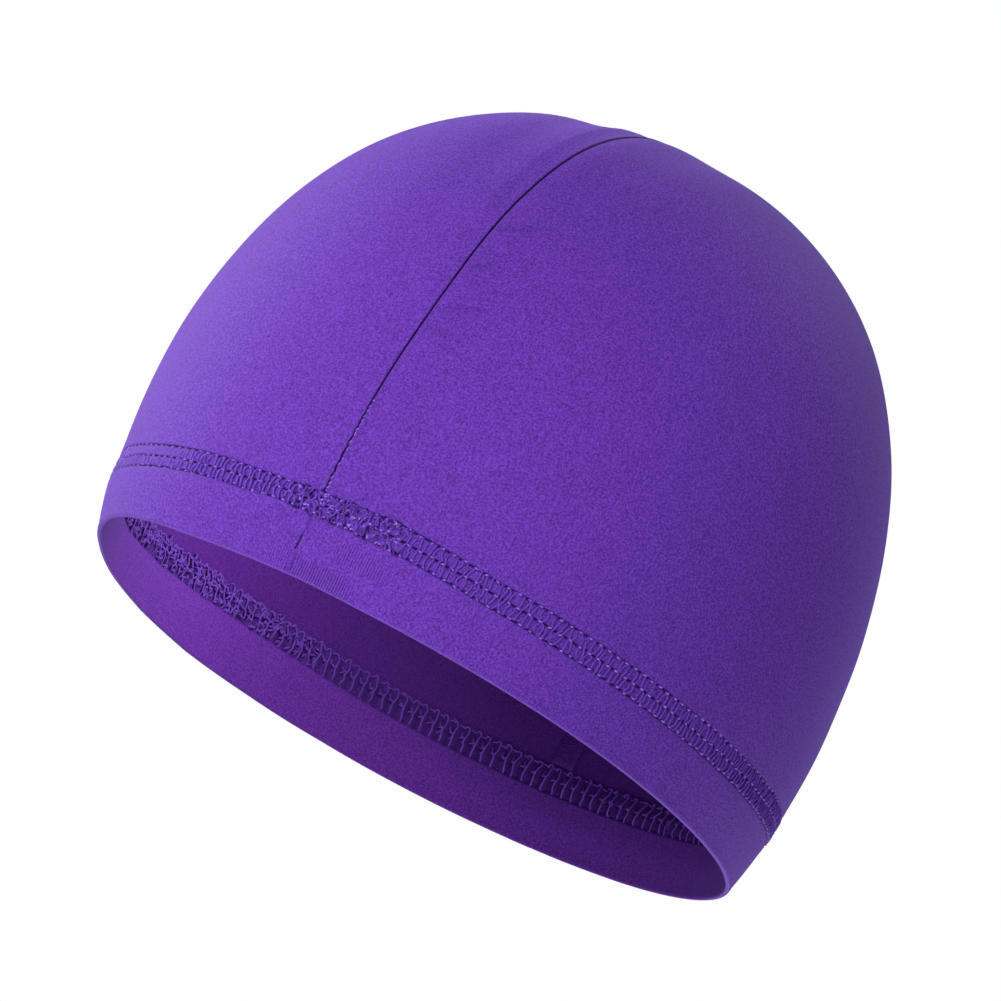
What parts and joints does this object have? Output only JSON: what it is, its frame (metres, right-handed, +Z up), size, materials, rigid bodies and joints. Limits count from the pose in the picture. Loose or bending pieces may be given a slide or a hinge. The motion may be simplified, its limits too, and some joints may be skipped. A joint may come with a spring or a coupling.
{
  "type": "cycling skull cap",
  "caption": "Close-fitting stretch skull cap with a centre seam and a doubled hem, open below to take a head.",
  "frame": {"origin": "centre of the head opening, in the plane of the rim", "axes": "+Z up through the crown; -Y towards the front; +X towards the wearer's left"},
  "size_m": [0.1738, 0.197, 0.1468],
  "materials": {
    "crown_jersey": "matte purple nylon and elastane jersey",
    "hem_jersey": "matte purple jersey, doubled",
    "seam_edges": "overlocked purple jersey edges"
  },
  "bodies": {
    "root": {"crown_panel_left": "crown_jersey", "crown_panel_right": "crown_jersey", "hem_band": "hem_jersey", "seam_allowance": "seam_edges"}
  },
  "joints": []
}
